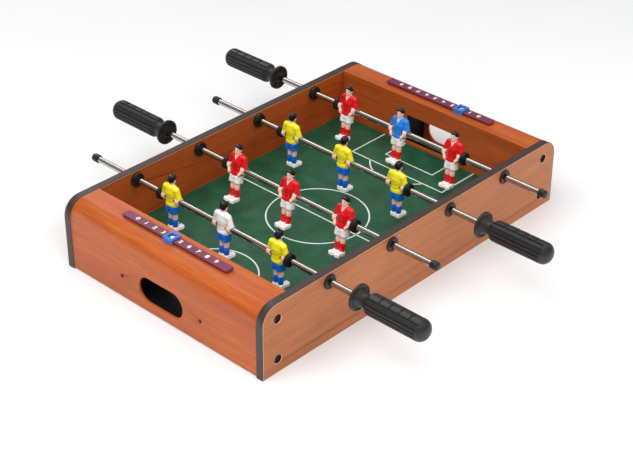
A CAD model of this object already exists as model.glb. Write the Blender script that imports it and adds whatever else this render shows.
import math

import bpy
import numpy as np
from mathutils import Matrix, Vector


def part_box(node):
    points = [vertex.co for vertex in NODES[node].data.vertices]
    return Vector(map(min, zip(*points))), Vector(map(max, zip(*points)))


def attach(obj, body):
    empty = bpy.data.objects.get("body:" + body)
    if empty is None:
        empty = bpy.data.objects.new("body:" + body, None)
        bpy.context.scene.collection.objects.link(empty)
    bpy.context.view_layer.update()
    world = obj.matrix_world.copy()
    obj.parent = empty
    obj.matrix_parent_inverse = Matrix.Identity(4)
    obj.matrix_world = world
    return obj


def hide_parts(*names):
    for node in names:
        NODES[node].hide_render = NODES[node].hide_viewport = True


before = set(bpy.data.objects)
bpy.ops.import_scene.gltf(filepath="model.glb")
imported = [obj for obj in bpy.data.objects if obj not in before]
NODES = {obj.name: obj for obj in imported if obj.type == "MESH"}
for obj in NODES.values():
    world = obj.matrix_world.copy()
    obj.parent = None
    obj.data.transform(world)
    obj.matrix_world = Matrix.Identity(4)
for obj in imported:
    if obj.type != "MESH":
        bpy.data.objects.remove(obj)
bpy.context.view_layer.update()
MM = 0.001
scene = bpy.context.scene


# ---------------------------------------------------------------- material helpers
def srgb(r, g, b):
    """Display colour 0 to 255 as the linear colour that a shader takes."""
    def lin(c):
        c = c / 255.0
        return c / 12.92 if c <= 0.04045 else ((c + 0.055) / 1.055) ** 2.4
    return (lin(r), lin(g), lin(b), 1.0)


def set_stops(color_ramp, stops):
    """Gives a colour ramp its (position, colour) stops."""
    els = color_ramp.elements
    while len(els) < len(stops):
        els.new(0.5)
    for el, (pos, colour) in zip(els, stops):
        el.position = pos
        el.color = colour if len(colour) == 4 else (*colour, 1.0)


class Shader:
    """A Principled material with short calls for the few texture nodes used here."""

    def __init__(self, name, **inputs):
        """inputs are Principled inputs, with underscores for the spaces in their names."""
        self.mat = bpy.data.materials.new(name)
        self.mat.use_nodes = True
        self.tree = self.mat.node_tree
        self.bsdf = self.tree.nodes["Principled BSDF"]
        for key, value in inputs.items():
            self.bsdf.inputs[key.replace("_", " ")].default_value = value

    def new(self, kind, **props):
        """A new node with these properties."""
        n = self.tree.nodes.new(kind)
        for key, value in props.items():
            setattr(n, key, value)
        return n

    def link(self, a, b):
        self.tree.links.new(a, b)

    def coords(self, scale=(1, 1, 1)):
        """Object coordinates in metres, times scale."""
        tc = self.new("ShaderNodeTexCoord")
        mp = self.new("ShaderNodeMapping")
        mp.inputs["Scale"].default_value = scale
        self.link(tc.outputs["Object"], mp.inputs["Vector"])
        return mp.outputs["Vector"]

    def noise(self, vector, detail, rough, distortion=0.0):
        """Noise from about 0 to 1 with features one unit of the vector in size."""
        n = self.new("ShaderNodeTexNoise")
        n.inputs["Scale"].default_value = 1.0
        n.inputs["Detail"].default_value = detail
        n.inputs["Roughness"].default_value = rough
        n.inputs["Distortion"].default_value = distortion
        self.link(vector, n.inputs["Vector"])
        return n.outputs["Fac"]

    def ramp(self, fac, stops):
        """Colour of fac by (position, colour) stops."""
        n = self.new("ShaderNodeValToRGB")
        set_stops(n.color_ramp, stops)
        self.link(fac, n.inputs["Fac"])
        return n.outputs["Color"]

    def grey(self, fac, lo, hi, a, b):
        """Maps fac from lo..hi to a..b, clamped."""
        n = self.new("ShaderNodeMapRange")
        for key, value in (("From Min", lo), ("From Max", hi), ("To Min", a), ("To Max", b)):
            n.inputs[key].default_value = value
        self.link(fac, n.inputs["Value"])
        return n.outputs["Result"]

    def mix(self, fac, a, b, blend="MIX"):
        """Mix of colours a and b, each a value or a socket."""
        n = self.new("ShaderNodeMix", data_type="RGBA", blend_type=blend)
        for key, value in ((0, fac), (6, a), (7, b)):  # the Mix node's sockets for RGBA data
            if isinstance(value, (tuple, float, int)):
                n.inputs[key].default_value = value
            else:
                self.link(value, n.inputs[key])
        return n.outputs[2]

    def sum(self, *terms):
        """Weighted sum of (socket, weight) pairs."""
        out = None
        for socket, weight in terms:
            n = self.new("ShaderNodeMath", operation="MULTIPLY_ADD")
            n.inputs[1].default_value = weight
            self.link(socket, n.inputs[0])
            if out is None:
                n.inputs[2].default_value = 0.0
            else:
                self.link(out, n.inputs[2])
            out = n.outputs[0]
        return out

    def colour(self, socket):
        self.link(socket, self.bsdf.inputs["Base Color"])

    def roughness(self, fac, lo, hi):
        """Roughness from lo to hi over the usual span of a noise."""
        self.link(self.grey(fac, 0.3, 0.7, lo, hi), self.bsdf.inputs["Roughness"])

    def bump(self, height, distance):
        """Surface relief, distance in metres."""
        n = self.new("ShaderNodeBump")
        n.inputs["Distance"].default_value = distance
        n.inputs["Strength"].default_value = 1.0
        self.link(height, n.inputs["Height"])
        self.link(n.outputs["Normal"], self.bsdf.inputs["Normal"])


INSIDE_Y = 0.148  # between the inner and the outer faces of the side panels
INSIDE_EDGE = 0.0002


def wood(name, along, dark, mid, light, inside=None):
    """Printed cherry laminate with its grain along x or y.

    inside is a tint for what lies within INSIDE_Y of the table's middle line.
    """
    s = Shader(name, Coat_Weight=0.1, Coat_Roughness=0.4, Specular_IOR_Level=0.4)

    def stretch(length, width):
        """Texture scale for grain features of this length and width in metres."""
        v = [1 / width] * 3
        v["xyz".index(along)] = 1 / length
        return tuple(v)

    broad = s.noise(s.coords(stretch(0.4, 0.07)), 2, 0.5)
    grain = s.noise(s.coords(stretch(0.16, 0.007)), 4, 0.55, 0.2)
    fine = s.noise(s.coords(stretch(0.03, 0.0012)), 3, 0.6)
    pores = s.noise(s.coords(stretch(0.009, 0.0005)), 1, 0.5)
    total = s.sum((broad, 0.3), (grain, 0.35), (fine, 0.35))
    tone = s.ramp(total, [(0.36, dark), (0.5, mid), (0.64, light)])
    dashes = s.grey(pores, 0.29, 0.35, 0.0, 1.0)
    mark = s.ramp(dashes, [(0.0, (0.84, 0.8, 0.78)), (1.0, (1.0, 1.0, 1.0))])
    colour = s.mix(1.0, tone, mark, "MULTIPLY")
    if inside:
        where = s.new("ShaderNodeSeparateXYZ")
        s.link(s.coords(), where.inputs[0])
        size = s.new("ShaderNodeMath", operation="ABSOLUTE")
        s.link(where.outputs["Y"], size.inputs[0])
        near_middle = s.grey(size.outputs[0], INSIDE_Y - INSIDE_EDGE, INSIDE_Y + INSIDE_EDGE, 1.0, 0.0)
        colour = s.mix(near_middle, colour, s.mix(1.0, colour, inside, "MULTIPLY"))
    s.colour(colour)
    s.roughness(grain, 0.34, 0.48)
    s.bump(s.sum((fine, 0.5), (dashes, 0.5)), 0.00004)
    return s.mat


def plastic(name, colour, rough, grain_size=0.0006, depth=0.00002, spread=0.12, coat=0.0, specular=0.5):
    """Moulded plastic with slightly uneven colour, a fine surface grain and faint wear."""
    s = Shader(name, Coat_Weight=coat, Coat_Roughness=0.15, Specular_IOR_Level=specular)
    big = s.noise(s.coords((60, 60, 60)), 3, 0.5)
    fine = s.noise(s.coords((1 / grain_size,) * 3), 2, 0.5)
    lo = tuple(c * (1 - spread) for c in colour[:3]) + (1.0,)
    hi = tuple(min(1.0, c * (1 + spread)) for c in colour[:3]) + (1.0,)
    s.colour(s.ramp(s.sum((big, 0.75), (fine, 0.25)), [(0.35, lo), (0.65, hi)]))
    s.roughness(big, rough - 0.05, rough + 0.06)
    s.bump(fine, depth)
    return s.mat


# name: display colour, roughness and other settings of plastic()
PLASTICS = {
    "edge_band": ((60, 46, 41), 0.45, {"grain_size": 0.0009, "depth": 0.00003}),
    "black_plastic": ((28, 28, 30), 0.38, {}),
    "tray_black": ((14, 14, 15), 0.62, {"specular": 0.2}),
    "panel_edge": ((226, 178, 132), 0.6, {"grain_size": 0.0007}),
    "bumper_rubber": ((24, 24, 25), 0.45, {}),
    "handle_plastic": ((36, 35, 34), 0.42, {"grain_size": 0.0008, "depth": 0.00004}),
    "score_rail": ((112, 46, 70), 0.36, {}),
    "score_numbers": ((238, 232, 232), 0.45, {}),
    "score_slider": ((36, 120, 205), 0.25, {"coat": 0.4}),
    "field_lines": ((226, 234, 226), 0.5, {"grain_size": 0.0005}),
    "player_yellow": ((255, 238, 44), 0.24, {"coat": 0.5, "spread": 0.05}),
    "player_red": ((222, 14, 24), 0.24, {"coat": 0.5, "spread": 0.08}),
    "player_blue": ((34, 132, 226), 0.24, {"coat": 0.5, "spread": 0.06}),
    "player_white": ((250, 247, 243), 0.26, {"coat": 0.5, "spread": 0.02}),
    "paint_blue_cloth": ((16, 104, 206), 0.26, {"coat": 0.5, "spread": 0.08}),
    "paint_skin": ((250, 204, 186), 0.3, {"coat": 0.35, "spread": 0.04}),
    "paint_hair": ((10, 9, 10), 0.2, {"coat": 0.15}),
    "paint_lip": ((196, 104, 96), 0.4, {}),
}
M = {name: plastic(name, srgb(*colour), rough, **more) for name, (colour, rough, more) in PLASTICS.items()}
M["panel_wood"] = wood("panel_wood", "x", srgb(156, 88, 46), srgb(176, 104, 57), srgb(192, 120, 69),
                       inside=(0.95, 0.55, 0.26, 1.0))
M["cover_wood"] = wood("cover_wood", "y", srgb(156, 68, 20), srgb(180, 84, 26), srgb(202, 106, 38))
M["inner_wood"] = wood("inner_wood", "y", srgb(148, 66, 22), srgb(176, 84, 34), srgb(196, 102, 46))


def raw_board():
    """Bare board of the corner cleats."""
    s = Shader("plain_wood", Specular_IOR_Level=0.3)
    fibre = s.noise(s.coords((900, 900, 900)), 4, 0.7)
    broad = s.noise(s.coords((70, 70, 70)), 2, 0.5)
    s.colour(s.ramp(s.sum((fibre, 0.6), (broad, 0.4)),
                    [(0.35, srgb(176, 138, 96)), (0.65, srgb(214, 180, 134))]))
    s.roughness(fibre, 0.75, 0.9)
    s.bump(fibre, 0.0001)
    return s.mat


def printed_field():
    """Green printed board, slightly mottled."""
    s = Shader("playfield", Specular_IOR_Level=0.35)
    mottle = s.noise(s.coords((45, 45, 45)), 4, 0.6)
    speck = s.noise(s.coords((1100, 1100, 1100)), 3, 0.6)
    s.colour(s.ramp(s.sum((mottle, 0.55), (speck, 0.45)),
                    [(0.36, srgb(22, 66, 44)), (0.5, srgb(30, 82, 55)), (0.64, srgb(42, 98, 68))]))
    s.roughness(mottle, 0.46, 0.6)
    s.bump(speck, 0.00005)
    return s.mat


def chrome():
    """Chromed tube with faint clouding."""
    s = Shader("rod_chrome", Metallic=1.0)
    cloud = s.noise(s.coords((90, 40, 90)), 3, 0.5)
    s.colour(s.ramp(cloud, [(0.3, (0.44, 0.41, 0.37)), (0.7, (0.54, 0.51, 0.47))]))
    s.roughness(cloud, 0.08, 0.12)
    return s.mat


def black_screw():
    """Blackened steel with worn spots."""
    s = Shader("screw", Metallic=0.85)
    wear = s.noise(s.coords((900, 900, 900)), 3, 0.6)
    s.colour(s.ramp(wear, [(0.4, srgb(34, 34, 38)), (0.75, srgb(84, 84, 90))]))
    s.roughness(wear, 0.24, 0.4)
    s.bump(wear, 0.00003)
    return s.mat


M["plain_wood"] = raw_board()
M["playfield"] = printed_field()
M["rod_chrome"] = chrome()
M["screw"] = black_screw()


# ---------------------------------------------------------------- mesh helpers
def make_object(name, verts, faces, materials, face_material=None, sharp=40.0):
    """Smooth-shaded object from vertices in metres. Edges over sharp degrees stay sharp."""
    mesh = bpy.data.meshes.new(name)
    mesh.from_pydata([tuple(v) for v in verts], [], [tuple(f) for f in faces])
    for m in materials:
        mesh.materials.append(m)
    if face_material is not None:
        mesh.polygons.foreach_set("material_index", np.asarray(face_material, np.int32))
    mesh.validate()
    mesh.polygons.foreach_set("use_smooth", np.ones(len(mesh.polygons), bool))
    if sharp:
        mesh.set_sharp_from_angle(angle=math.radians(sharp))
    mesh.update()
    ob = bpy.data.objects.new(name, mesh)
    scene.collection.objects.link(ob)
    return ob


def place(ob, body, slot, *nodes):
    """Puts a piece on its body and slot, in place of the given CAD nodes."""
    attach(ob, body)
    if nodes:
        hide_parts(*nodes)


def lathe(profile, angles, ring=False, warp=None):
    """Turns (y, r) points in mm round Y.

    ring joins the last point to the first. warp(a, y, r) gives the moved y and r of a vertex at angle a.
    """
    n = len(angles)
    ca, sa = np.cos(angles), np.sin(angles)
    verts, rows = [], []
    for y, r in profile:
        if r < 1e-6:
            rows.append([len(verts)] * n)
            verts.append((0.0, y, 0.0))
            continue
        rows.append(list(range(len(verts), len(verts) + n)))
        for a, c, s in zip(angles, ca, sa):
            yy, rr = warp(a, y, r) if warp else (y, r)
            verts.append((rr * s, yy, rr * c))
    faces = []
    pairs = list(zip(rows, rows[1:] + rows[:1])) if ring else list(zip(rows, rows[1:]))
    for lo, hi in pairs:
        for k in range(n):
            quad = [lo[k], lo[(k + 1) % n], hi[(k + 1) % n], hi[k]]
            face = [v for i, v in enumerate(quad) if v != quad[i - 1]]
            if len(face) > 2:
                faces.append(face)
    return np.array(verts), faces


def even_angles(n):
    """n angles round the circle in radians."""
    return np.arange(n) * 2 * math.pi / n


def arc(cy, cr, radius, a0, a1, n):
    """Points of an arc in (y, r), angles in degrees, 0 along +y and 90 along +r."""
    out = []
    for k in range(n + 1):
        a = math.radians(a0 + (a1 - a0) * k / n)
        out.append((cy + radius * math.cos(a), cr + radius * math.sin(a)))
    return out


def joined(parts):
    """Joins (verts, faces) pairs into one."""
    verts, faces, base = [], [], 0
    for v, f in parts:
        verts.append(np.asarray(v, float))
        faces += [[i + base for i in face] for face in f]
        base += len(v)
    return np.concatenate(verts), faces


def moved(part, offset=(0, 0, 0), flip=False):
    """Turns half round Z first if flip is set, then moves."""
    v = np.array(part[0], float)
    if flip:
        v = v * (-1, -1, 1)
    return v + np.array(offset, float), part[1]


# ---------------------------------------------------------------- places read from the CAD
def centre(node):
    """Middle of a node's box in mm."""
    lo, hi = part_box(node)
    return (lo + hi) / 2 / MM


def low(node):
    """Least corner of a node's box in mm."""
    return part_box(node)[0] / MM


def high(node):
    """Greatest corner of a node's box in mm."""
    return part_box(node)[1] / MM


FIELD_Z = high("playfield").z
FIELD_X = high("playfield").x
INNER_Y = high("end_cover_near").y
PANEL_Y = high("side_panel_back").y
ROD = []  # axis x and z, and y between the bumpers, in mm. flip is set where the handle is at the back
for i in range(4):
    tube = centre(f"rod_{i + 1}_tube")
    ROD.append({"x": tube.x, "z": tube.z, "flip": i % 2 == 1, "mid": centre(f"rod_{i + 1}_bumpers").y})
ROD_R = 3.5
BUSH_CLEAR = 0.08  # round the rod in a bush
HUB_CLEAR = 0.05  # round the rod in a player or a handle
SLEEVE_R = 6.0


# ---------------------------------------------------------------- wooden frame: CAD meshes with finer edges
def finish_node(name, slot, width=0.0, segments=2, extra=None, material=None):
    """Keeps a CAD mesh with a new material and edges bevelled by width in mm.

    extra is the bevel's own material. material is given when its name differs from the slot's.
    """
    ob = NODES[name]
    ob.data.materials.clear()
    ob.data.materials.append(M[material or slot])
    if extra:
        ob.data.materials.append(M[extra])
    if width:
        weld = ob.modifiers.new("weld", "WELD")
        weld.merge_threshold = 0.00001
        bevel = ob.modifiers.new("bevel", "BEVEL")
        bevel.width = width * MM
        bevel.segments = segments
        bevel.limit_method = "ANGLE"
        bevel.angle_limit = math.radians(50)
        bevel.harden_normals = True
        if extra:
            bevel.material = 1


for side in ("front", "back"):
    finish_node(f"side_panel_{side}", "panel_wood", width=0.45, extra="panel_edge")
    finish_node(f"edge_band_{side}", "edge_band", width=0.25)
finish_node("end_screws", "screw", width=0.25, segments=3)
finish_node("playfield", "playfield")
for end in ("near", "far"):
    finish_node(f"end_cover_{end}", "cover_wood", width=0.5)
    finish_node(f"goal_wall_{end}", "inner_wood", width=0.4)
    finish_node(f"ball_tray_{end}", "black_plastic", width=0.3, material="tray_black")
    finish_node(f"score_rail_{end}", "score_rail", width=0.5, segments=3)
    finish_node(f"score_slider_{end}", "score_slider", width=0.35, segments=3)
    for side in ("front", "back"):
        finish_node(f"corner_cleat_{end}_{side}", "plain_wood", width=0.6)
for i in range(4):
    finish_node(f"rod_{i + 1}_tube", "rod_chrome")


# ---------------------------------------------------------------- panel screws with a crossed dome in a cup
SCREW_HEAD_R, SCREW_SHANK_R = 5.25, 1.75
RECESS_R, RECESS_DEPTH, RECESS_HALF_W, RECESS_SLOPE = 2.3, 0.9, 0.28, 0.3


def screw_profile(length):
    """Outer face of the cup at y 0 and the tip at y = length."""
    r = SCREW_HEAD_R
    p = [(0.55, 0.0), (0.57, 0.6), (0.62, 1.2), (0.75, 1.9), (0.95, 2.6), (1.25, 3.2), (1.75, 3.7)]
    p += [(2.2, 3.85), (2.3, 4.2), (1.7, 4.5), (0.5, 4.8), (0.06, r - 0.3), (0.02, r - 0.1), (0.3, r)]
    return p + [(2.6, r), (3.0, SCREW_SHANK_R), (length - 2.0, SCREW_SHANK_R), (length, 0.0)]


def screw_warp(a, y, r):
    """Presses a cross into the dome, with a quarter of its depth beyond RECESS_R."""
    if r > 3.0 or y > 2.0:
        return y, r
    arm = min(abs(r * math.sin(a - k * math.pi / 4)) for k in (1, 3))
    inside = 1 - min(1.0, max(0.0, (arm - RECESS_HALF_W) / RECESS_SLOPE))
    return y + RECESS_DEPTH * inside * (1.0 if r < RECESS_R else 0.25), r


for side, flip in (("front", False), ("back", True)):
    name = f"panel_screws_{side}"
    lo, hi = low(name), high(name)
    screw = lathe(screw_profile(hi.y - lo.y), even_angles(48), warp=screw_warp)
    parts = [moved(screw, (sx * (hi.x - SCREW_HEAD_R), hi.y if flip else lo.y, z), flip)
             for sx in (-1, 1) for z in (lo.z + SCREW_HEAD_R, hi.z - SCREW_HEAD_R)]
    v, f = joined(parts)
    place(make_object(f"visual_{name}", v * MM, f, [M["screw"]], sharp=45), "table", "screw", name)


# ---------------------------------------------------------------- playfield print
LINE_W = 1.7
LINE_H = 0.12


def strip(points, closed=False):
    """A flat ribbon along points (x, y) in mm, half sunk in the playfield."""
    pts = np.array(points, float)
    n = len(pts)
    nxt = np.roll(pts, -1, 0) if closed else np.vstack([pts[1:], 2 * pts[-1] - pts[-2]])
    prv = np.roll(pts, 1, 0) if closed else np.vstack([2 * pts[0] - pts[1], pts[:-1]])
    a = pts - prv
    b = nxt - pts
    a /= np.linalg.norm(a, axis=1)[:, None]
    b /= np.linalg.norm(b, axis=1)[:, None]
    t = a + b
    t /= np.linalg.norm(t, axis=1)[:, None]
    side = np.stack([-t[:, 1], t[:, 0]], 1) / np.clip((t * a).sum(1), 0.3, 1)[:, None]
    left, right = pts + side * LINE_W / 2, pts - side * LINE_W / 2
    top, under = FIELD_Z + LINE_H, FIELD_Z - LINE_H
    verts = []
    for ring, z in ((left, top), (right, top), (right, under), (left, under)):
        verts += [(p[0], p[1], z) for p in ring]
    faces = []
    for k in range(n if closed else n - 1):
        m = (k + 1) % n
        for r in range(4):
            q = (r + 1) % 4
            faces.append([r * n + k, q * n + k, q * n + m, r * n + m])
    if not closed:
        faces.append([0, n, 2 * n, 3 * n][::-1])
        faces.append([n - 1, 2 * n - 1, 3 * n - 1, 4 * n - 1])
    return verts, faces


def circle_points(cx, cy, r, a0, a1, n):
    """n + 1 points (x, y) in mm from angle a0 to a1 in degrees."""
    angles = [math.radians(a0 + (a1 - a0) * k / n) for k in range(n + 1)]
    return [(cx + r * math.cos(a), cy + r * math.sin(a)) for a in angles]


# measured from the photo, in mm from the middle of the field
CENTRE_R = 59.5
BOX_X, BOX_Y = 138.0, 70.8
GOAL_BOX_X, GOAL_BOX_Y = 161.3, 36.7
ARC_X, ARC_R = 165.7, 49.9
end_x = FIELD_X - 1.0
arc_a = math.degrees(math.acos((ARC_X - BOX_X) / ARC_R))
lines = [strip([(0, -INNER_Y + 2), (0, INNER_Y - 2)]),
         strip(circle_points(0, 0, CENTRE_R, 0, 360, 120)[:-1], closed=True)]
for s in (-1, 1):
    for x, y in ((BOX_X, BOX_Y), (GOAL_BOX_X, GOAL_BOX_Y)):
        lines.append(strip([(s * end_x, -y), (s * x, -y), (s * x, y), (s * end_x, y)]))
    mid = 180 if s > 0 else 0
    lines.append(strip(circle_points(s * ARC_X, 0, ARC_R, mid - arc_a, mid + arc_a, 60)))
v, f = joined(lines)
place(make_object("field_lines", v * MM, f, [M["field_lines"]]), "table", "field_lines")


# ---------------------------------------------------------------- score digits
PITCH = 13.33
DIGIT_SIZE, DIGIT_T, DIGIT_LIFT = 8.8, 0.16, 0.07
DIGIT_BOLD = 0.028  # outline grown by this share of the size
DIGIT_SQUEEZE = 0.82


def digit_mesh(text, size, thick):
    """Flat mesh of a digit in mm, centred on its own outline."""
    cu = bpy.data.curves.new("digit", "FONT")
    cu.body = text
    cu.size = size
    cu.extrude = thick / 2
    cu.offset = DIGIT_BOLD * size
    cu.align_x = "CENTER"
    cu.align_y = "CENTER"
    cu.resolution_u = 6
    ob = bpy.data.objects.new("digit", cu)
    scene.collection.objects.link(ob)
    dg = bpy.context.evaluated_depsgraph_get()
    me = bpy.data.meshes.new_from_object(ob.evaluated_get(dg))
    v = np.array([p.co for p in me.vertices])
    f = [list(p.vertices) for p in me.polygons]
    v[:, :2] -= (v[:, :2].max(0) + v[:, :2].min(0)) / 2
    bpy.data.objects.remove(ob)
    bpy.data.meshes.remove(me)
    bpy.data.curves.remove(cu)
    return v, f


digits = [digit_mesh(str(d), DIGIT_SIZE, DIGIT_T) for d in range(10)]
for end, flip in (("near", False), ("far", True)):
    top = high(f"score_rail_{end}").z
    cx = centre(f"score_rail_{end}").x
    parts = []
    for d, (v, f) in enumerate(digits):
        w = np.stack([v[:, 1] * DIGIT_SQUEEZE, -v[:, 0], v[:, 2] + DIGIT_LIFT], 1)
        w[:, 1] += (4.5 - d) * PITCH
        if flip:
            w = w * (-1, -1, 1)
        w[:, 0] += cx
        w[:, 2] += top
        parts.append((w, f))
    v, f = joined(parts)
    place(make_object(f"score_numbers_{end}", v * MM, f, [M["score_numbers"]], sharp=30),
          "table", "score_numbers")


# ---------------------------------------------------------------- bushes, caps and bumpers
def bush_profile(flange_r, flange_t, depth):
    """Flanged bush with the flange's outer face at y 0 and its sleeve to +y."""
    hole = ROD_R + BUSH_CLEAR
    p = [(depth, hole), (1.3, hole)]
    p += [(0.9, hole + 0.5), (0.9, 5.6)]
    p += [(0.0, 6.4), (0.0, flange_r - 1.8)]
    p += arc(1.2, flange_r - 1.2, 1.2, 180, 90, 4)
    p += [(flange_t, flange_r), (flange_t, SLEEVE_R), (depth, SLEEVE_R)]
    return p


def nut_profile(y0, y1, r, hole):
    """Ring between y0 and y1 with its outer edge rounded at y1 and a shallow dish in that face."""
    p = [(y0, hole), (y0, r)]
    p += arc(y1 - 1.1, r - 1.1, 1.1, 90, 0, 4)
    return p + [(y1, hole + 0.35), (y1 - 0.35, hole)]


ANG = even_angles(56)
for side, flip in (("front", False), ("back", True)):
    nuts = []
    nut_node = f"bush_nuts_{side}"
    nut_t = high(nut_node).y - low(nut_node).y
    for i in range(4):
        name = f"bush_{i + 1}_{side}"
        lo, hi = low(name), high(name)
        flange_r = (hi.x - lo.x) / 2
        depth = hi.y - lo.y
        flange_t = depth - nut_t - (PANEL_Y - INNER_Y)
        part = lathe(bush_profile(flange_r, flange_t, depth), ANG, ring=True)
        y = hi.y if flip else lo.y
        v, f = moved(part, (ROD[i]["x"], y, ROD[i]["z"]), flip)
        place(make_object(f"visual_{name}", v * MM, f, [M["black_plastic"]], sharp=50),
              "table", "black_plastic", name)
        ring = lathe(nut_profile(depth - nut_t, depth - 0.01, flange_r, SLEEVE_R + 0.02), ANG, ring=True)
        nuts.append(moved(ring, (ROD[i]["x"], y, ROD[i]["z"]), flip))
    v, f = joined(nuts)
    place(make_object(f"visual_{nut_node}", v * MM, f, [M["black_plastic"]], sharp=50),
          "table", "black_plastic", nut_node)


def cap_profile(length, r):
    """End cap with its open lip at y 0 and its rounded end at y = length."""
    lip = r - 0.75
    p = [(length - 3.0, 0.0), (length - 3.0, ROD_R), (3.4, ROD_R), (3.0, ROD_R + 0.15), (2.6, lip)]
    p += [(0.25, lip), (0.0, lip + 0.2), (0.0, r - 0.25), (0.3, r), (length - 2.4, r)]
    p += arc(length - 2.4, r - 2.4, 2.4, 90, 8, 6)[1:]
    return p + [(length, 1.2), (length, 0.0)]


def bumper_profile(length, r):
    """Rubber ring with rounded edges, a fine groove round its middle and a dish in each face."""
    p = [(0.0, ROD_R), (0.0, 4.7), (0.5, 5.0), (0.5, r - 1.9), (0.0, r - 1.5)]
    p += arc(1.0, r - 1.0, 1.0, 180, 90, 4)[1:]
    p += [(length / 2 - 0.4, r), (length / 2, r - 0.5), (length / 2 + 0.4, r)]
    p += arc(length - 1.0, r - 1.0, 1.0, 90, 0, 4)
    p += [(length, r - 1.5), (length - 0.5, r - 1.9), (length - 0.5, 5.0), (length, 4.7), (length, ROD_R)]
    return p


for i in range(4):
    r = ROD[i]
    name = f"rod_{i + 1}_cap"
    lo, hi = low(name), high(name)
    length = hi.y - lo.y
    part = lathe(cap_profile(length, (hi.x - lo.x) / 2), ANG)
    v, f = moved(part, (r["x"], hi.y if r["flip"] else lo.y, r["z"]), r["flip"])
    place(make_object(f"visual_{name}", v * MM, f, [M["black_plastic"]], sharp=45),
          f"rod_{i + 1}_shaft", "black_plastic", name)
    name = f"rod_{i + 1}_bumpers"
    lo, hi = low(name), high(name)
    radius = (hi.x - lo.x) / 2
    ys = np.array([v.co.y for v in NODES[name].data.vertices]) / MM
    inner = ys[ys > r["mid"]].min()
    length = hi.y - inner
    ring = lathe(bumper_profile(length, radius), ANG, ring=True)
    v, f = joined([moved(ring, (r["x"], inner, r["z"])),
                   moved(ring, (r["x"], 2 * r["mid"] - inner, r["z"]), True)])
    place(make_object(f"visual_{name}", v * MM, f, [M["bumper_rubber"]], sharp=45),
          f"rod_{i + 1}_shaft", "bumper_rubber", name)


# ---------------------------------------------------------------- handles
HANDLE_L = high("rod_1_handle").y - low("rod_1_handle").y
GUARD_R = (high("rod_1_handle").x - low("rod_1_handle").x) / 2
GRIP_R, NECK_R, NECK_L, DOME_L = 12.25, 8.0, 16.0, 9.5
SOCKET_L = 70.0
GROOVE_W, GROOVE_D = 2.0, 1.7
# degrees: the grooves beside the cross-cut strip, from there to the next one, and between the others
STRIP_TURN, SIDE_RIB, RIB = 32, 28, 20
SPOKES = 8
WEB_D = 1.6  # depth of the webs between the spokes of the guard


def smooth(x, lo, hi):
    """0 below lo, 1 above hi and an even curve between them."""
    t = np.clip((x - lo) / (hi - lo), 0, 1)
    return t * t * (3 - 2 * t)


GROOVE_AT = [math.radians(a) for a in [STRIP_TURN, -STRIP_TURN]
             + list(range(STRIP_TURN + SIDE_RIB, 361 - STRIP_TURN - SIDE_RIB, RIB))]
DOME_Y = -HANDLE_L + DOME_L
CROSS_AT = [-33.0 - 13.0 * k for k in range(4)]


def handle_angles():
    """Angles with extra ones on the edges of the grooves and spokes."""
    fixed = []
    for a in GROOVE_AT:
        for d in (-1.5, -1.15, -0.75, 0.0, 0.75, 1.15, 1.5):
            fixed.append(a + d / GRIP_R)
    for k in range(SPOKES):
        for d in (-6.5, -4.5, 4.5, 6.5):
            fixed.append(2 * math.pi * (k + 0.5) / SPOKES + math.radians(d))
    fixed = sorted(a % (2 * math.pi) for a in fixed)
    kept = [fixed[0]]
    for a in fixed[1:]:
        if a - kept[-1] > math.radians(1.3):
            kept.append(a)
    out = []
    for a, b in zip(kept, kept[1:] + [kept[0] + 2 * math.pi]):
        n = max(1, math.ceil((b - a) / math.radians(6.5)))
        out += [a + (b - a) * k / n for k in range(n)]
    return np.array(out)


def handle_profile():
    """From the socket's floor over the guard's face at y 0 to the grip's end at -HANDLE_L."""
    hole = ROD_R + HUB_CLEAR
    p = [(-SOCKET_L, 0.0), (-SOCKET_L, hole), (-0.4, hole), (0.0, hole + 0.4), (0.0, 5.6), (-0.35, 6.0)]
    p += [(-0.36, 6.3), (-0.37, 6.8), (-0.38, 9.5), (-0.37, 12.4), (-0.36, 12.9), (0.0, 13.2)]
    p += [(0.0, GUARD_R - 1.0)] + arc(-0.9, GUARD_R - 0.9, 0.9, 60, 90, 2)
    p += [(-2.6, GUARD_R)] + arc(-2.6, GUARD_R - 0.9, 0.9, 120, 180, 3)
    p += [(-3.5, 13.4), (-2.6, 12.9), (-2.3, 12.0), (-2.6, 11.2)]
    p += [(-3.6, 10.6), (-5.4, 9.5), (-7.6, 8.5), (-10.0, NECK_R), (-13.6, NECK_R), (-14.6, 8.2)]
    p += [(-15.3, 8.8), (-NECK_L, 9.6), (-16.6, 10.4), (-17.5, 11.3), (-18.6, 11.9), (-19.6, 12.15)]
    p += [(-20.4, GRIP_R)]
    ys = [-21.4]
    for y in CROSS_AT:
        ys += [y + d for d in (1.6, 1.2, 0.7, 0.0, -0.7, -1.2, -1.6)]
    ys += [DOME_Y + 3.0, DOME_Y + 1.5, DOME_Y + 0.4]
    ys = sorted(set(ys), reverse=True)
    filled = []
    for a, b in zip(ys, ys[1:] + [DOME_Y]):
        n = max(1, math.ceil((a - b) / 4.5))
        filled += [a + (b - a) * k / n for k in range(n)]
    p += [(y, GRIP_R) for y in filled]
    for a in np.linspace(0, 90, 15)[:-1]:
        c, t = math.cos(math.radians(a)), math.sin(math.radians(a))
        p.append((DOME_Y - DOME_L * t ** 1.1, GRIP_R * c ** 0.86))
    p += [(-HANDLE_L, 0.0)]
    return p


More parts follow.
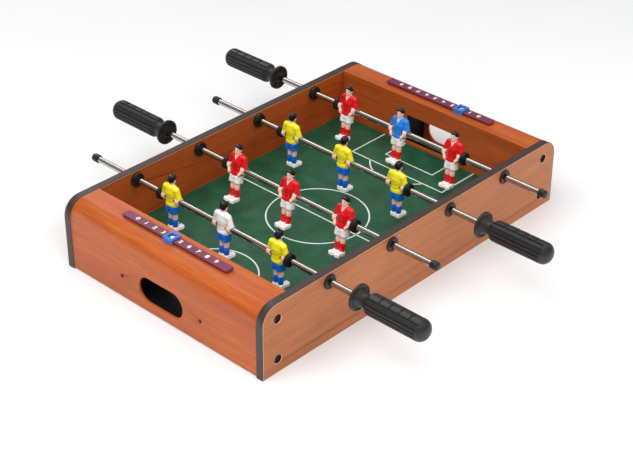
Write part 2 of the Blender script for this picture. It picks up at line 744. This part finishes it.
def handle_warp(a, y, r):
    """Cuts the grip's grooves, and the webs in the rings that handle_profile puts near y -0.37."""
    if -HANDLE_L < y < -NECK_L + 0.1 and r > 9.0:
        run = smooth(y, DOME_Y - 1.6, DOME_Y + 1.0)
        near = min(abs((a - g + math.pi) % (2 * math.pi) - math.pi) for g in GROOVE_AT) * GRIP_R
        cut = GROOVE_D * run * (1 - smooth(near, GROOVE_W / 2 - 0.35, GROOVE_W / 2 + 0.35))
        off = abs((a + math.pi) % (2 * math.pi) - math.pi) * GRIP_R
        if off < 6.4:
            c = min(abs(y - q) for q in CROSS_AT)
            cut = max(cut, GROOVE_D * 0.7 * (1 - smooth(c, 0.6, 1.3)))
        return y, min(r, max(9.6, r - cut))
    if -0.39 < y < -0.355:
        k = (a / (2 * math.pi) * SPOKES - 0.5) % 1.0
        spoke = min(k, 1 - k) * 360 / SPOKES
        depth = smooth(spoke, 4.6, 6.4) * smooth(r, 6.2, 6.9) * (1 - smooth(r, 12.3, 12.95))
        return y - WEB_D * depth, r
    return y, r


HV, HF = lathe(handle_profile(), handle_angles(), warp=handle_warp)
handle_base = make_object("handle_shape", HV * MM, HF, [M["handle_plastic"]], sharp=32)
handle_mesh = handle_base.data
bpy.data.objects.remove(handle_base)


# ---------------------------------------------------------------- players: smooth blended forms
# Each form gives the signed distance in mm at points p. The rod's axis is x 0, z 0, and +x is the front.
def cap(p, a, b, ra, rb):
    """Capsule from a to b with radii ra and rb."""
    a, b = np.array(a, np.float32), np.array(b, np.float32)
    ba = b - a
    pa = p - a
    h = np.clip((pa @ ba) / (ba @ ba), 0, 1)
    return np.linalg.norm(pa - h[..., None] * ba, axis=-1) - (ra + (rb - ra) * h)


def ell(p, c, r):
    """Ellipsoid with centre c and radii r."""
    q = p - np.array(c, np.float32)
    r = np.array(r, np.float32)
    k0 = np.linalg.norm(q / r, axis=-1)
    k1 = np.linalg.norm(q / (r * r), axis=-1)
    return k0 * (k0 - 1) / np.maximum(k1, 1e-6)


def rbox(p, c, b, r, turn=0.0):
    """Box with half sizes b and edge radius r, turned about Z by degrees."""
    q = p - np.array(c, np.float32)
    if turn:
        ct, st = math.cos(math.radians(turn)), math.sin(math.radians(turn))
        q = np.stack([q[..., 0] * ct + q[..., 1] * st, -q[..., 0] * st + q[..., 1] * ct, q[..., 2]], -1)
    d = np.abs(q) - (np.array(b, np.float32) - r)
    return np.linalg.norm(np.maximum(d, 0), axis=-1) + np.minimum(d.max(-1), 0) - r


def tube_y(p, r, y0, y1):
    """Cylinder of radius r round the rod's axis."""
    d = np.stack([np.hypot(p[..., 0], p[..., 2]) - r, np.abs(p[..., 1] - (y0 + y1) / 2) - (y1 - y0) / 2], -1)
    return np.linalg.norm(np.maximum(d, 0), axis=-1) + np.minimum(d.max(-1), 0)


def smin(a, b, k):
    """Union of two forms, blended over k."""
    h = np.clip(0.5 + 0.5 * (b - a) / k, 0, 1)
    return b + (a - b) * h - k * h * (1 - h)


def smax(a, b, k):
    """What two forms share, blended over k."""
    return -smin(-a, -b, k)


def mirrored(p):
    """Points with y made positive, so that both sides are alike."""
    q = p.copy()
    q[..., 1] = np.abs(q[..., 1])
    return q


def bored(d, p):
    """Form d with the rod's hole taken out."""
    return np.maximum(d, ROD_R + HUB_CLEAR - np.hypot(p[..., 0], p[..., 2]))


def folds(p):
    """Height of the folds in the cloth."""
    x, y, z = p[..., 0], p[..., 1], p[..., 2]
    return 0.16 * np.sin(0.55 * y + 0.8 * z) * np.sin(0.9 * x - 0.35 * z + 0.4 * y)


def torso(p, grow):
    """Chest, belly and shoulders, larger by grow."""
    q = mirrored(p)
    d = ell(q, (-0.2, 0, 9.0), (5.5 + grow, 8.4 + grow, 9.4 + grow))
    belly = np.hypot(q[..., 0] / 5.3, q[..., 1] / 7.7)
    belly = np.maximum((belly - 1) * 5.3 - grow, np.abs(q[..., 2] + 1.0) - 9.0)
    d = smin(d, belly, 2.2)
    return smin(d, cap(q, (-0.4, 0, 14.2), (-0.4, 7.8, 13.4), 3.5 + grow, 3.2 + grow), 2.0)


def shirt(p):
    q = mirrored(p)
    x, y, z = q[..., 0], q[..., 1], q[..., 2]
    body = torso(p, 0.25) + folds(p)
    body = smin(body, np.maximum(np.hypot(x / 5.9, y / 8.3) * 5.9 - 5.9, np.abs(z + 6.4) - 1.6), 1.2)
    sleeve = cap(q, (-0.4, 8.7, 12.8), (-0.1, 11.6, 3.0), 3.4, 3.5) + 0.6 * folds(p)
    sleeve = smax(sleeve, 0.6 - z + 0.35 * (y - 11), 0.5)
    d = smin(body, sleeve, 1.1)
    d = smax(d, -8.3 - z, 0.45)
    d = smax(d, -ell(q, (0.9, 0, 19.2), (4.0, 3.7, 3.4)), 0.4)
    wedge = np.maximum(np.maximum(y - (z - 10.2) * 0.42, 1.0 - x), 10.2 - z)
    return bored(smax(d, -wedge, 0.3), p)


def skin(p):
    q = mirrored(p)
    z = q[..., 2]
    head = ell(q, (1.5, 0, 23.2), (4.5, 3.95, 5.0))
    head = smin(head, ell(q, (2.7, 0, 19.9), (3.1, 2.9, 2.7)), 1.4)
    head = smin(head, cap(q, (5.6, 0, 23.0), (6.5, 0, 21.5), 0.4, 0.75), 0.7)
    head = smin(head, ell(q, (4.9, 0, 24.5), (1.0, 2.7, 0.6)), 0.7)
    head = smin(head, ell(q, (4.6, 0, 18.4), (1.4, 1.6, 1.1)), 0.8)
    head = smin(head, ell(q, (1.0, 3.95, 22.4), (1.0, 0.75, 1.5)), 0.35)
    head = smin(head, cap(q, (0.5, 0, 13.5), (1.0, 0, 20.0), 2.75, 2.5), 0.9)
    chest = np.maximum(torso(p, -0.15), 9.0 - z)
    d = smin(head, chest, 1.0)
    boss = tube_y(q, 4.4, 8.6, 13.0) - 0.45
    arm = cap(q, (0.9, 11.7, 0.6), (4.6, 8.6, -4.4), 2.3, 1.8)
    hand = ell(q, (4.9, 7.6, -6.0), (2.0, 1.7, 2.5))
    limb = smin(smin(boss, arm, 1.4), hand, 0.8)
    limb = smin(limb, cap(q, (-0.1, 11.2, 5.4), (0.0, 11.9, 2.0), 2.6, 2.8), 0.8)
    leg = cap(q, (0.1, 3.5, -14.0), (0.4, 3.3, -22.6), 3.5, 3.1)
    leg = smin(leg, cap(q, (0.6, 3.3, -22.8), (0.1, 3.3, -28.0), 3.15, 2.9), 0.8)
    d = np.minimum(np.minimum(d, limb), leg)
    return bored(d, p)


def shorts(p):
    q = mirrored(p)
    x, y, z = q[..., 0], q[..., 1], q[..., 2]
    hip = np.maximum((np.hypot(x / 5.4, y / 7.7) - 1) * 5.4, np.abs(z + 9.5) - 3.0)
    leg = np.hypot(x / 5.5, (y - 4.1) / 4.4)
    leg = np.maximum((leg - 1) * 4.6 - 0.05 * (-9 - z), np.abs(z + 13.0) - 4.6)
    d = smin(hip, leg, 1.5) + 0.8 * folds(p + np.array([0.7, 1.1, 0.3], np.float32))
    return bored(smax(d, -17.4 - z, 0.4), p)


def socks(p):
    q = mirrored(p)
    z = q[..., 2]
    leg = cap(q, (0.2, 3.35, -26.5), (0.0, 3.3, -38.0), 3.35, 2.95)
    leg = smin(leg, ell(q, (-0.9, 3.4, -30.0), (3.0, 3.0, 4.6)), 1.0)
    cuff = cap(q, (0.2, 3.35, -26.6), (0.2, 3.35, -27.4), 3.5, 3.5)
    d = smin(leg, cuff, 0.5)
    return smax(d, z + 25.8, 0.35)


HEAD_TOP = 29.0  # the hair stays within this distance of the rod's axis, as the CAD does
SOLE_Z = -41.5


def shoes(p):
    q = mirrored(p)
    z = q[..., 2]
    toe = rbox(q, (5.0, 4.0, -38.9), (5.4, 3.3, 2.6), 1.5, 9.0)
    heel = rbox(q, (0.2, 3.4, -38.8), (3.6, 3.4, 2.7), 1.4)
    sole = rbox(q, (2.6, 0, -40.4), (5.6, 5.6, 1.1), 0.6)
    d = smin(smin(toe, heel, 1.2), sole, 0.8)
    d = smin(d, cap(q, (0.1, 3.3, -36.0), (1.2, 3.4, -37.6), 3.3, 3.2), 0.8)
    notch = cap(q, (11.5, 0, -44.0), (11.0, 0, -34.0), 2.2, 2.2)
    d = smax(d, -notch, 0.6)
    return smax(smax(d, SOLE_Z - z, 0.3), z + 35.7, 0.4)


def hair(p):
    q = mirrored(p)
    x, y, z = q[..., 0], q[..., 1], q[..., 2]
    d = ell(q, (1.0, 0, 23.6), (4.9, 4.45, 5.4))
    d = smin(d, ell(q, (3.0, 1.2, 26.2), (3.2, 3.2, 2.4)), 1.2)
    edge = (x - 5.4) * 0.68 - (z - 25.4) * 0.73
    side = np.where(y > 3.2, 0.35 * np.sin(1.4 * z), 0.0)
    d = smax(d, edge + side, 0.3)
    strands = 0.12 * np.sin(3.1 * y + 0.8 * x) * np.sin(0.9 * z + 1.1)
    return smax(d + strands, np.hypot(x, z) - HEAD_TOP + 0.15, 0.5)


def eyes(p):
    q = mirrored(p)
    d = ell(q, (5.35, 1.65, 23.1), (0.6, 0.72, 0.36))
    return np.minimum(d, cap(q, (5.65, 0.95, 24.35), (5.0, 2.5, 24.5), 0.3, 0.24))


def lips(p):
    q = mirrored(p)
    return cap(q, (5.5, 0.0, 19.9), (5.1, 1.2, 20.0), 0.32, 0.22)


def surface_net(f, lo, hi, h):
    """Quad mesh of f = 0 in the box lo..hi, one vertex for each cell that the surface crosses."""
    axes = [np.arange(a, b + h, h, dtype=np.float32) for a, b in zip(lo, hi)]
    grid = np.stack(np.meshgrid(*axes, indexing="ij"), -1)
    v = f(grid)
    s = v < 0
    nx, ny, nz = (len(a) - 1 for a in axes)
    total = np.zeros((nx, ny, nz, 3), np.float32)
    count = np.zeros((nx, ny, nz), np.int32)
    for ax in range(3):
        a = [slice(None)] * 3
        b = [slice(None)] * 3
        a[ax], b[ax] = slice(0, -1), slice(1, None)
        va, vb = v[tuple(a)], v[tuple(b)]
        cross = s[tuple(a)] != s[tuple(b)]
        t = np.where(cross, va / np.where(va == vb, 1, va - vb), 0)
        pos = grid[tuple(a)] + t[..., None] * (grid[tuple(b)] - grid[tuple(a)])
        o1, o2 = [k for k in range(3) if k != ax]
        for d1 in (0, 1):
            for d2 in (0, 1):
                sl = [slice(None)] * 3
                sl[o1] = slice(d1, d1 + (nx, ny, nz)[o1])
                sl[o2] = slice(d2, d2 + (nx, ny, nz)[o2])
                c = cross[tuple(sl)]
                total += np.where(c[..., None], pos[tuple(sl)], 0)
                count += c
    used = count > 0
    index = -np.ones(used.shape, np.int64)
    index[used] = np.arange(used.sum())
    verts = total[used] / count[used][:, None]
    faces = []
    for ax in range(3):
        o1, o2 = [(1, 2), (2, 0), (0, 1)][ax]
        a = [slice(None)] * 3
        b = [slice(None)] * 3
        a[ax], b[ax] = slice(0, -1), slice(1, None)
        for k in (o1, o2):
            a[k] = slice(1, -1)
            b[k] = slice(1, -1)
        sa, sb = s[tuple(a)], s[tuple(b)]
        for inside, order in ((sa & ~sb, 1), (~sa & sb, -1)):
            at = np.argwhere(inside)
            for k in (o1, o2):
                at[:, k] += 1
            quad = []
            for d1, d2 in ((-1, -1), (0, -1), (0, 0), (-1, 0)):
                c = at.copy()
                c[:, o1] += d1
                c[:, o2] += d2
                quad.append(index[c[:, 0], c[:, 1], c[:, 2]])
            faces.append(np.stack(quad[::order], 1))
    faces = np.concatenate(faces)
    for _ in range(3):
        e = 0.02
        value = f(verts)
        grad = np.stack([f(verts + np.eye(3, dtype=np.float32)[k] * e) - value for k in range(3)], -1) / e
        step = value[:, None] * grad / np.maximum((grad ** 2).sum(1), 0.2)[:, None]
        verts = verts - np.clip(step, -0.3 * h, 0.3 * h)
    return verts, faces


# name, form, box corners and cell size in mm
REGIONS = [
    ("shirt", shirt, (-7, -16, -10), (7.5, 16, 19), 0.6),
    ("skin", skin, (-7, -14.5, -30), (9, 14.5, 29), 0.55),
    ("shorts", shorts, (-8, -10.5, -19), (8, 10.5, -5), 0.6),
    ("socks", socks, (-6, -8, SOLE_Z), (6, 8, -24), 0.6),
    ("shoes", shoes, (-6, -10.5, -43), (13, 10.5, -34), 0.6),
    ("hair", hair, (-5.5, -6.5, 15), (8, 6.5, 30.5), 0.42),
    ("eyes", eyes, (4, -4, 22), (7, 4, 25.5), 0.22),
    ("lips", lips, (4, -2.5, 19), (7, 2.5, 21), 0.22),
]
FORMS = {name: surface_net(fn, lo, hi, h) for name, fn, lo, hi, h in REGIONS}
KITS = {  # materials of the shirt, shorts and socks
    "yellow": ("player_yellow", "paint_blue_cloth", "paint_blue_cloth"),
    "keeper_1": ("player_white", "paint_blue_cloth", "paint_blue_cloth"),
    "red": ("player_red", "player_white", "player_red"),
    "keeper_4": ("player_blue", "player_white", "player_red"),
}


def player_mesh(kit):
    """One mesh with a closed part for each region."""
    shirt_m, shorts_m, socks_m = KITS[kit]
    slots = [("shirt", shirt_m), ("skin", "paint_skin"), ("shorts", shorts_m), ("socks", socks_m),
             ("shoes", "player_white"), ("hair", "paint_hair"), ("eyes", "paint_hair"), ("lips", "paint_lip")]
    verts, faces = joined([(FORMS[n][0], FORMS[n][1].tolist()) for n, _ in slots])
    index = np.concatenate([np.full(len(FORMS[n][1]), k) for k, (n, _) in enumerate(slots)])
    ob = make_object("player_" + kit, verts * MM, faces, [M[m] for _, m in slots], index, sharp=60)
    mesh = ob.data
    bpy.data.objects.remove(ob)
    return mesh


PLAYER = {kit: player_mesh(kit) for kit in KITS}


def team_matrix(i, y, tilt):
    """Place on rod i at y in mm, turned by tilt degrees about the rod."""
    turn = Matrix.Rotation(math.pi, 4, "Z") if ROD[i]["flip"] else Matrix.Identity(4)
    return (Matrix.Translation(Vector((ROD[i]["x"], y, ROD[i]["z"])) * MM) @ turn
            @ Matrix.Rotation(-math.radians(tilt), 4, "Y"))


SPIN = [0, 10, 0, 8]  # degrees that each rod's players are turned in the photo
GRIP_PHASE = [5.5, 8, -12, -5]  # degrees that each handle is turned beyond its players
SHIRT = [("yellow", "keeper_1", "yellow"), ("red",) * 3, ("yellow",) * 3, ("red", "keeper_4", "red")]
SLOT = {"yellow": "player_yellow", "red": "player_red", "keeper_1": "player_white", "keeper_4": "player_blue"}
for i in range(4):
    r = ROD[i]
    handle_node = f"rod_{i + 1}_handle"
    face_y = low(handle_node).y if r["flip"] else high(handle_node).y
    ob = bpy.data.objects.new(f"visual_{handle_node}", handle_mesh)
    scene.collection.objects.link(ob)
    ob.matrix_world = team_matrix(i, face_y, SPIN[i] + GRIP_PHASE[i])
    place(ob, f"rod_{i + 1}_team", "handle_plastic", handle_node)
    for seat, kit in zip(("left", "middle", "right"), SHIRT[i]):
        name = f"rod_{i + 1}_player_{seat}"
        ob = bpy.data.objects.new(f"visual_{name}", PLAYER[kit])
        scene.collection.objects.link(ob)
        ob.matrix_world = team_matrix(i, centre(name).y, SPIN[i])
        place(ob, f"rod_{i + 1}_team", SLOT[kit], name)


# ---------------------------------------------------------------- floor, light and camera
FLOOR_HALF, FLOOR_Z = 12.0, -0.0002


def floor():
    """White ground, just under the table."""
    s = Shader("floor", Roughness=0.9, Specular_IOR_Level=0.1)
    soft = s.noise(s.coords((3, 3, 3)), 2, 0.5)
    s.colour(s.ramp(soft, [(0.3, (0.86, 0.86, 0.86)), (0.7, (0.9, 0.9, 0.9))]))
    v = [(x * FLOOR_HALF, y * FLOOR_HALF, FLOOR_Z) for x, y in ((-1, -1), (1, -1), (1, 1), (-1, 1))]
    ob = make_object("stage_floor", v, [(0, 1, 2, 3)], [s.mat], sharp=0)


SKY = [(0.0, (0.14, 0.14, 0.1414)), (0.5, (0.28, 0.28, 0.2828)), (1.0, (1.0, 1.0, 1.0))]


def sky():
    """World light that grows from the horizon to the top."""
    world = bpy.data.worlds.new("studio")
    scene.world = world
    world.use_nodes = True
    tree = world.node_tree
    coord = tree.nodes.new("ShaderNodeTexCoord")
    axes = tree.nodes.new("ShaderNodeSeparateXYZ")
    ramp = tree.nodes.new("ShaderNodeValToRGB")
    set_stops(ramp.color_ramp, SKY)
    tree.links.new(coord.outputs["Generated"], axes.inputs[0])
    tree.links.new(axes.outputs["Z"], ramp.inputs["Fac"])
    tree.links.new(ramp.outputs["Color"], tree.nodes["Background"].inputs["Color"])
    tree.nodes["Background"].inputs["Strength"].default_value = 1.0


def area_light(name, where, target, size, power, glossy=True, diffuse=True):
    """Soft light. glossy and diffuse say whether it is seen in reflections and lights plain surfaces."""
    data = bpy.data.lights.new(name, "AREA")
    data.shape = "RECTANGLE"
    data.size, data.size_y = size
    data.energy = power
    ob = bpy.data.objects.new(name, data)
    ob.location = where
    ob.visible_glossy = glossy
    ob.visible_diffuse = diffuse
    ob.rotation_euler = (Vector(target) - Vector(where)).to_track_quat("-Z", "Y").to_euler()
    scene.collection.objects.link(ob)


floor()
sky()
area_light("key", (-1.5, 0.9, 2.6), (0, 0, 0), (2.4, 2.4), 46, glossy=False)
area_light("front", (0.3, -2.0, 1.9), (0.05, -0.1, 0), (1.6, 1.2), 18, glossy=False)
area_light("near", (-0.95, -1.05, 1.2), (-0.2, -0.1, 0), (0.9, 0.9), 13, glossy=False)
# seen only in reflections: the thin bright line along the rods
area_light("line", (0.62, 1.38, 1.88), (0, 0, 0), (0.4, 2.2), 12, diffuse=False)

# fitted to the photo: direction, distance in metres, the point looked at and the focal length in mm
CAM_AZ, CAM_EL, CAM_ROLL = math.radians(-46.95), math.radians(32.5), math.radians(0.33)
CAM_DIST, CAM_TARGET = 1.73459, Vector((-0.05144, -0.04655, 0.045))
CAM_LENS = 89.44
back = Vector((math.sin(CAM_AZ) * math.cos(CAM_EL), -math.cos(CAM_AZ) * math.cos(CAM_EL), math.sin(CAM_EL)))
right = (-back).cross(Vector((0, 0, 1))).normalized()
up = right.cross(-back)
right_r = right * math.cos(CAM_ROLL) + up * math.sin(CAM_ROLL)
up_r = up * math.cos(CAM_ROLL) - right * math.sin(CAM_ROLL)
cam_data = bpy.data.cameras.new("photo_view")
cam_data.sensor_width = 36.0
cam_data.lens = CAM_LENS
cam_data.clip_end = 60.0
cam = bpy.data.objects.new("photo_view", cam_data)
pose = Matrix((right_r, up_r, back)).transposed().to_4x4()
pose.translation = CAM_TARGET + back * CAM_DIST
cam.matrix_world = pose
scene.collection.objects.link(cam)
scene.camera = cam
scene.view_settings.view_transform = "Standard"
